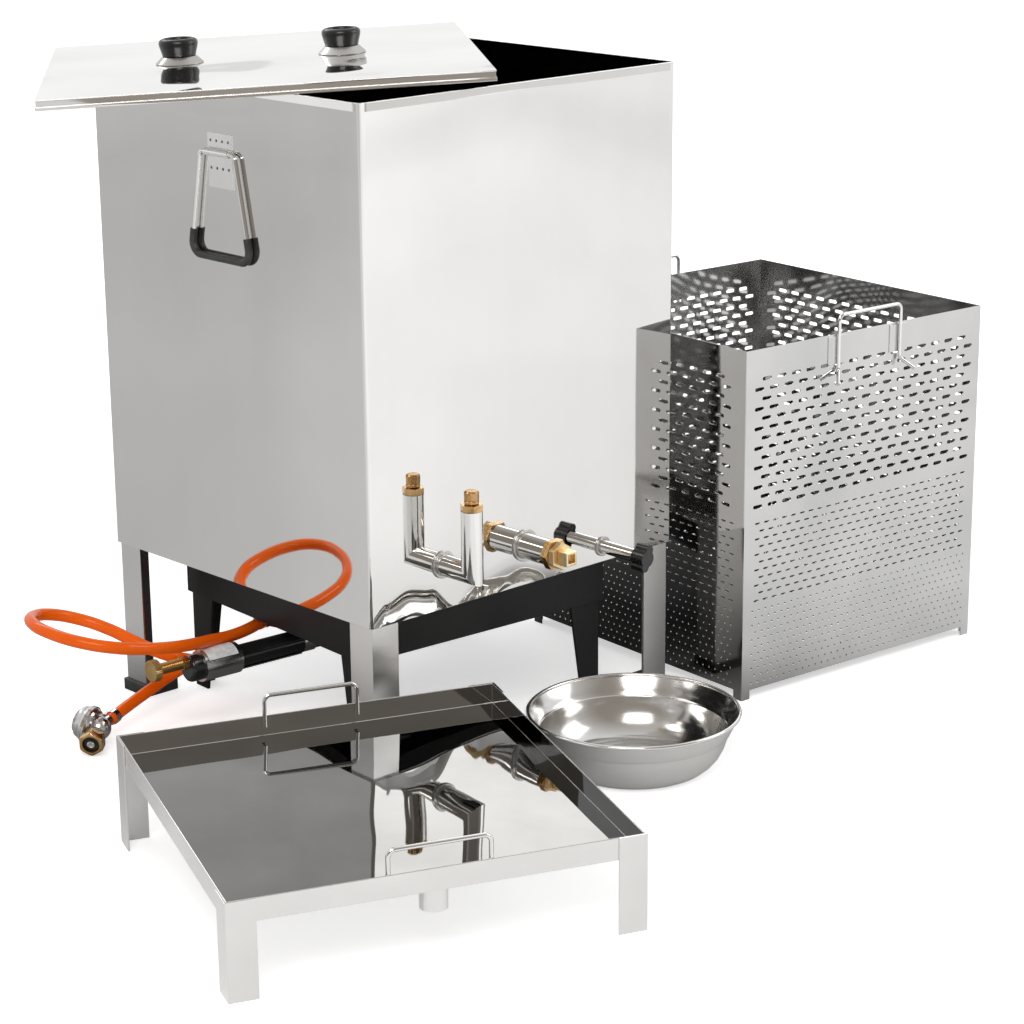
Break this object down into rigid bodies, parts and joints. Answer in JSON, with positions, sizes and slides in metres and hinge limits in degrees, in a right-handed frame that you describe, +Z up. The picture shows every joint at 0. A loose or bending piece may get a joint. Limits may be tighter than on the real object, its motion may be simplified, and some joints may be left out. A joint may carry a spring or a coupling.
{
  "type": "gas wax melter",
  "caption": "Gas-fired beeswax melter: square stainless tank with lid and drop handles, burner stand with hose, perforated basket, sloping legged tray and bowl.",
  "frame": {"origin": "middle of the set's outline on the floor, without the hose and what is on it", "axes": "+X to the right across the tank's front, +Y from the front with the pipes to the rear, +Z up"},
  "size_m": [1.451, 1.1787, 0.8502],
  "materials": {
    "stainless": "polished",
    "satin_steel": "satin",
    "brass": "turned",
    "black_paint": "satin black paint",
    "cast_burner": "as cast",
    "black_rubber": "matte",
    "black_knob": "moulded, glossy",
    "black_cap": "moulded",
    "hose_rubber": "smooth orange",
    "zinc": "die-cast"
  },
  "bodies": {
    "melter": {"tank_shell": "stainless", "tank_floor": "stainless", "tank_leg_front_left": "satin_steel", "tank_leg_front_right": "satin_steel", "tank_leg_rear_left": "satin_steel", "tank_leg_rear_right": "satin_steel", "tank_feet": "black_rubber", "handle_strap_left": "satin_steel", "handle_strap_right": "satin_steel", "filler_pipe": "stainless", "filler_collar": "brass", "outlet_pipe": "stainless", "outlet_collar": "brass", "drain_pipe": "stainless", "pipe_weld_rings": "satin_steel", "stand_rails": "black_paint", "stand_legs": "black_paint", "burner_bars": "black_paint", "burner_head": "cast_burner", "mixing_tube": "black_paint", "tube_sleeve": "stainless", "tube_band": "stainless", "jet_body": "black_paint", "valve_stem": "brass", "gas_inlet": "black_paint", "gas_hose": "hose_rubber", "hose_clamps": "satin_steel", "regulator_body": "zinc", "regulator_seal": "black_rubber"},
    "lid": {"lid_cover": "stainless", "lid_skirt": "stainless", "lid_knob_bases": "satin_steel", "lid_knobs": "black_knob", "lid_knob_screws": "satin_steel"},
    "handle_left": {"handle_bail_left": "satin_steel", "handle_grip_left": "black_rubber"},
    "handle_right": {"handle_bail_right": "satin_steel", "handle_grip_right": "black_rubber"},
    "filler_plug": {"filler_plug": "brass"},
    "outlet_plug": {"outlet_plug": "brass"},
    "drain_cap": {"drain_wing_cap": "black_cap"},
    "valve_knob": {"valve_knob": "brass"},
    "union_nut": {"regulator_nut": "brass"},
    "basket": {"basket_front": "stainless", "basket_rear": "stainless", "basket_left": "stainless", "basket_right": "stainless", "basket_floor": "stainless", "basket_grip_front": "satin_steel", "basket_grip_rear": "satin_steel", "basket_grip_plates": "satin_steel"},
    "tray": {"tray_pan": "stainless", "tray_leg_front_left": "stainless", "tray_leg_front_right": "stainless", "tray_leg_rear_left": "stainless", "tray_leg_rear_right": "stainless", "tray_spout": "stainless", "tray_grip_front": "satin_steel", "tray_grip_rear": "satin_steel"},
    "bowl": {"bowl": "stainless"}
  },
  "joints": [
    {"name": "lid_lift", "type": "slide", "parent": "melter", "child": "lid", "axis": [0, 0, 1], "range_m": [0, 0.25]},
    {"name": "handle_left_swing", "type": "hinge", "parent": "melter", "child": "handle_left", "pos_m": [-0.26648, 0.14765, 0.725], "axis": [0, 1, 0], "range_deg": [0, 95]},
    {"name": "handle_right_swing", "type": "hinge", "parent": "melter", "child": "handle_right", "pos_m": [0.24352, 0.14765, 0.725], "axis": [0, -1, 0], "range_deg": [0, 95]},
    {"name": "filler_plug_turn", "type": "hinge", "parent": "melter", "child": "filler_plug", "pos_m": [-0.14948, -0.15335, 0.331], "axis": [0, 0, 1], "range_deg": [0, 360]},
    {"name": "outlet_plug_turn", "type": "hinge", "parent": "melter", "child": "outlet_plug", "pos_m": [-0.01748, -0.14835, 0.25], "axis": [0, -1, 0], "range_deg": [0, 360]},
    {"name": "drain_cap_turn", "type": "hinge", "parent": "melter", "child": "drain_cap", "pos_m": [0.11552, -0.17435, 0.22], "axis": [0, -1, 0], "range_deg": [0, 360]},
    {"name": "valve_turn", "type": "hinge", "parent": "melter", "child": "valve_knob", "pos_m": [-0.36861, 0.17263, 0.109], "axis": [-0.9976, 0.0698, 0], "range_deg": [0, 360]},
    {"name": "union_nut_spin", "type": "hinge", "parent": "melter", "child": "union_nut", "pos_m": [-0.42665, 0.23151, 0.01784], "axis": [-0.7522, -0.6433, -0.1427], "continuous": true},
    {"name": "basket_lift", "type": "slide", "parent": "melter", "child": "basket", "axis": [0, 0, 1], "range_m": [0, 0.13]},
    {"name": "tray_lift", "type": "slide", "parent": "melter", "child": "tray", "axis": [0, 0, 1], "range_m": [0, 0.1]},
    {"name": "bowl_lift", "type": "slide", "parent": "melter", "child": "bowl", "axis": [0, 0, 1], "range_m": [0, 0.12]}
  ]
}
